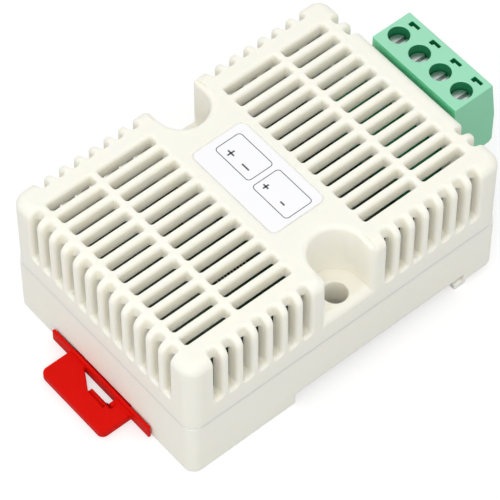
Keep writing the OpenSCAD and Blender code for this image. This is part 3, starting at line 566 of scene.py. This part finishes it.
arms = softenEdges(copyNode("springArms", "clip_spring_arms"), edges["arms"])
arms.data.materials.clear()
arms.data.materials.append(redNylon)
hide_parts("clip_spring_arms")
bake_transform(arms)

# slotted clamp screws with their threads
screw = {
    "Head Radius": 1.7 * mm, "Head Height": 1.5 * mm, "Slot Width": 0.6 * mm, "Slot Depth": 0.8 * mm,
    "Core Radius": 1.06 * mm, "Core Length": 5.7 * mm, "Thread Radius": 0.13 * mm, "Thread Pitch": 0.5 * mm,
    "Thread Share": 0.72, "Thread Start": -0.97,  # of the core's length
}


def screwTree():
    tree = bpy.data.node_groups.new("clampScrew", "GeometryNodeTree")
    tree.interface.new_socket("Blank", in_out="INPUT", socket_type="NodeSocketGeometry")
    for name in screw:
        tree.interface.new_socket(name, in_out="INPUT", socket_type="NodeSocketFloat")
    tree.interface.new_socket("Place", in_out="INPUT", socket_type="NodeSocketVector")
    tree.interface.new_socket("Finish", in_out="INPUT", socket_type="NodeSocketMaterial")
    tree.interface.new_socket("Screw", in_out="OUTPUT", socket_type="NodeSocketGeometry")
    size = addNode(tree, "NodeGroupInput").outputs
    halfHead = addNode(tree, "ShaderNodeMath", {
        0: size["Head Height"], 1: -0.5}, operation="MULTIPLY").outputs[0]
    headAt = addNode(tree, "ShaderNodeCombineXYZ", {2: halfHead}).outputs[0]
    head = addNode(tree, "GeometryNodeMeshCylinder", {
        "Vertices": 48, "Radius": size["Head Radius"], "Depth": size["Head Height"]}).outputs[0]
    head = addNode(tree, "GeometryNodeTransform", {"Geometry": head, "Translation": headAt}).outputs[0]
    deep = addNode(tree, "ShaderNodeMath", {0: size["Slot Depth"], 1: 2.0}, operation="MULTIPLY").outputs[0]
    wide = addNode(tree, "ShaderNodeMath", {0: size["Head Radius"], 1: 3.0}, operation="MULTIPLY").outputs[0]
    driveSize = addNode(tree, "ShaderNodeCombineXYZ", {0: wide, 1: size["Slot Width"], 2: deep}).outputs[0]
    drive = addNode(tree, "GeometryNodeMeshCube", {"Size": driveSize}).outputs[0]
    slotted = addNode(tree, "GeometryNodeMeshBoolean", {
        "Mesh 1": head, "Mesh 2": drive}, operation="DIFFERENCE", solver="EXACT").outputs[0]
    drop = addNode(tree, "ShaderNodeMath", {
        0: size["Core Length"], 1: -0.5, 2: halfHead}, operation="MULTIPLY_ADD").outputs[0]
    coreAt = addNode(tree, "ShaderNodeCombineXYZ", {2: drop}).outputs[0]
    core = addNode(tree, "GeometryNodeMeshCylinder", {
        "Vertices": 32, "Radius": size["Core Radius"], "Depth": size["Core Length"]}).outputs[0]
    core = addNode(tree, "GeometryNodeTransform", {"Geometry": core, "Translation": coreAt}).outputs[0]
    threadLength = addNode(tree, "ShaderNodeMath", {
        0: size["Core Length"], 1: size["Thread Share"]}, operation="MULTIPLY").outputs[0]
    turns = addNode(tree, "ShaderNodeMath", {
        0: threadLength, 1: size["Thread Pitch"]}, operation="DIVIDE").outputs[0]
    threadFoot = addNode(tree, "ShaderNodeMath", {
        0: size["Core Length"], 1: size["Thread Start"], 2: halfHead}, operation="MULTIPLY_ADD").outputs[0]
    threadAt = addNode(tree, "ShaderNodeCombineXYZ", {2: threadFoot}).outputs[0]
    helix = addNode(tree, "GeometryNodeCurveSpiral", {
        "Resolution": 20, "Rotations": turns, "Start Radius": size["Core Radius"],
        "End Radius": size["Core Radius"], "Height": threadLength}).outputs[0]
    ridge = addNode(tree, "GeometryNodeCurvePrimitiveCircle", {
        "Resolution": 6, "Radius": size["Thread Radius"]}).outputs[0]
    thread = addNode(tree, "GeometryNodeCurveToMesh", {
        "Curve": helix, "Profile Curve": ridge, "Fill Caps": True}).outputs[0]
    thread = addNode(tree, "GeometryNodeTransform", {"Geometry": thread, "Translation": threadAt}).outputs[0]
    whole = addNode(tree, "GeometryNodeJoinGeometry", {0: [slotted, core, thread]}).outputs[0]
    whole = addNode(tree, "GeometryNodeTransform", {
        "Geometry": whole, "Translation": size["Place"]}).outputs[0]
    whole = addNode(tree, "GeometryNodeRealizeInstances", {0: whole}).outputs[0]
    whole = addNode(tree, "GeometryNodeSetMaterial", {
        "Geometry": whole, "Material": size["Finish"]}).outputs[0]
    addNode(tree, "NodeGroupOutput", {0: whole})
    return tree


screws = screwTree()
for i, pole in enumerate(poles, 1):
    place = Vector((terminal["screwX"], pole, terminal["headTop"])) * mm
    piece = keepMesh("clampScrew%d" % i, bpy.data.meshes.new("clampScrew%d" % i))
    runTree(piece, screws, dict(screw, Place=place, Finish=zincSteel))
    softenEdges(piece, edges["screw"], segments=2, sharp=50, where=lambda p: p.z > recess["low"])
    dress(piece, zincSteel, "screw_%d" % i, "zinc_steel", "clamp_screw_%d" % i)

# label print: two thin outlines and the polarity signs
marks = {
    "lift": 25.65, "thick": 0.02, "line": 0.13, "outlines": [(0.92, 4.5, 5.4, 8.5), (0.8, -5.05, 5.7, 8.5)],
    "cornerR": 0.7, "stroke": 0.28,
    "bars": [(-0.2, 6.4, 0.75, 0), (-0.2, 6.4, 0, 0.75), (-0.24, 2.76, 0, 0.85),
             (-0.24, -2.27, 0.6, 0), (-0.24, -2.27, 0, 0.6), (-0.4, -6.5, 0, 0.5)],
}


def labelPrint():
    m = marks
    bm = bmesh.new()
    z = (m["lift"] + m["thick"]) * mm
    for x, y, l, w in m["outlines"]:
        rings = []
        for grow in (0, m["line"]):
            plan = roundedPlan(l - 2 * grow, w - 2 * grow, m["cornerR"] - grow)
            rings.append([bm.verts.new(((x + px) * mm, (y + py) * mm, z)) for px, py in plan])
        for i in range(len(rings[0])):
            j = (i + 1) % len(rings[0])
            bm.faces.new((rings[0][i], rings[0][j], rings[1][j], rings[1][i]))
    for x, y, armX, armY in m["bars"]:
        halfX, halfY = max(armX, m["stroke"] / 2), max(armY, m["stroke"] / 2)
        plan = [(x + sx * halfX, y + sy * halfY) for sx, sy in ((-1, -1), (1, -1), (1, 1), (-1, 1))]
        bm.faces.new([bm.verts.new((px * mm, py * mm, z)) for px, py in plan])
    for face in bm.faces:
        if face.normal.z < 0:
            face.normal_flip()
    mesh = bpy.data.meshes.new("labelPrint")
    bm.to_mesh(mesh)
    bm.free()
    piece = keepMesh("labelPrint", mesh)
    thick = piece.modifiers.new("ink", "SOLIDIFY")
    thick.thickness = m["thick"] * mm
    thick.offset = -1
    return freeze(piece)


printed = labelPrint()
printed.data.materials.append(greyInk)
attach(printed, "housing")
print("label printed:", len(printed.data.polygons), "faces")

# the label and what sits inside keep their solids and get a finish
keptSolids = {
    "label": labelFilm, "board": maskedLaminate,
    "header_pins": tinnedBrass, "plug_contacts": tinnedBrass, "chip_leads": tinnedBrass,
    "controller_chip": blackEpoxy, "bus_chip": blackEpoxy, "converter_chip": blackEpoxy,
    "sensor_chip": blackEpoxy, "protection_diode": blackEpoxy, "chip_resistors": blackEpoxy,
    "capacitor_base": blackEpoxy, "capacitor_can": drawnAluminium,
    "inductor": darkFerrite, "ceramic_capacitors": tanCeramic,
    **{"clamp_cage_%d" % i: zincSteel for i in range(1, terminal["poles"] + 1)},
}
for name, finish in keptSolids.items():
    for slot in nodes[name].material_slots:
        slot.material = finish
print("kept solids finished:", len(keptSolids))

# pale floor, white surroundings and soft lamps
studio = {
    "floorZ": -2.82, "floorReach": 3000.0, "floorColour": "C4C4C4", "floorRough": 0.9,
    "white": "FFFFFF", "fill": 0.85, "cameraLift": 0.5,
    "lampSize": 300, "aim": (0, 0, 10),
    "lamps": {"key": ((-256, -304, 552), 0.85), "clipSide": ((-589, 0, 340), 0.36)},  # place and power
}


def makeFloor():
    s = studio
    bm = bmesh.new()
    half, z = s["floorReach"] * mm, s["floorZ"] * mm
    bm.faces.new([bm.verts.new((x * half, y * half, z)) for x, y in ((-1, -1), (1, -1), (1, 1), (-1, 1))])
    mesh = bpy.data.meshes.new("floor")
    bm.to_mesh(mesh)
    bm.free()
    floor = keepMesh("floor", mesh)
    material = bpy.data.materials.new("paleFloor")
    material.use_nodes = True
    tree = material.node_tree
    surface = tree.nodes["Principled BSDF"]
    surface.inputs["Base Color"].default_value = linear(s["floorColour"])
    surface.inputs["Roughness"].default_value = s["floorRough"]
    seen = addNode(tree, "ShaderNodeLightPath").outputs["Is Camera Ray"]
    lift = addNode(tree, "ShaderNodeMath", {0: seen, 1: s["cameraLift"]}, operation="MULTIPLY").outputs[0]
    tree.links.new(lift, surface.inputs["Emission Strength"])
    surface.inputs["Emission Color"].default_value = linear(s["white"])
    mesh.materials.append(material)


def makeWorld():
    world = bpy.data.worlds.new("studio")
    scene.world = world
    world.use_nodes = True
    tree = world.node_tree
    back = tree.nodes["Background"]
    back.inputs["Color"].default_value = linear(studio["white"])
    path = addNode(tree, "ShaderNodeLightPath").outputs
    seen = path["Is Camera Ray"]
    for ray in (path["Is Glossy Ray"], path["Is Transmission Ray"]):
        seen = addNode(tree, "ShaderNodeMath", {0: seen, 1: ray}, operation="MAXIMUM").outputs[0]
    level = addNode(tree, "ShaderNodeMapRange", {
        "Value": seen, "To Min": studio["fill"], "To Max": 1.0}).outputs[0]
    tree.links.new(level, back.inputs["Strength"])


def softLamp(name, place, power):
    data = bpy.data.lights.new(name, "AREA")
    data.shape = "DISK"
    data.size = studio["lampSize"] * mm
    data.energy = power
    lamp = bpy.data.objects.new(name, data)
    scene.collection.objects.link(lamp)
    lamp.location = Vector(place) * mm
    lamp.rotation_euler = (Vector(studio["aim"]) - Vector(place)).to_track_quat("-Z", "Y").to_euler()


makeFloor()
makeWorld()
for name, (place, power) in studio["lamps"].items():
    softLamp(name, place, power)

view = {
    "place": (-196.39, -231.89, 428.04), "look": (0.3757, 0.4473, -0.8116),
    "lens": 228.9, "sensor": 36.0, "near": 10.0,
}
lens = bpy.data.cameras.new("photoView")
lens.lens = view["lens"]
lens.sensor_width = view["sensor"]
lens.clip_start = view["near"] * mm
camera = bpy.data.objects.new("photoView", lens)
scene.collection.objects.link(camera)
camera.location = Vector(view["place"]) * mm
camera.rotation_euler = Vector(view["look"]).to_track_quat("-Z", "Y").to_euler()
scene.camera = camera
print("studio and camera set")
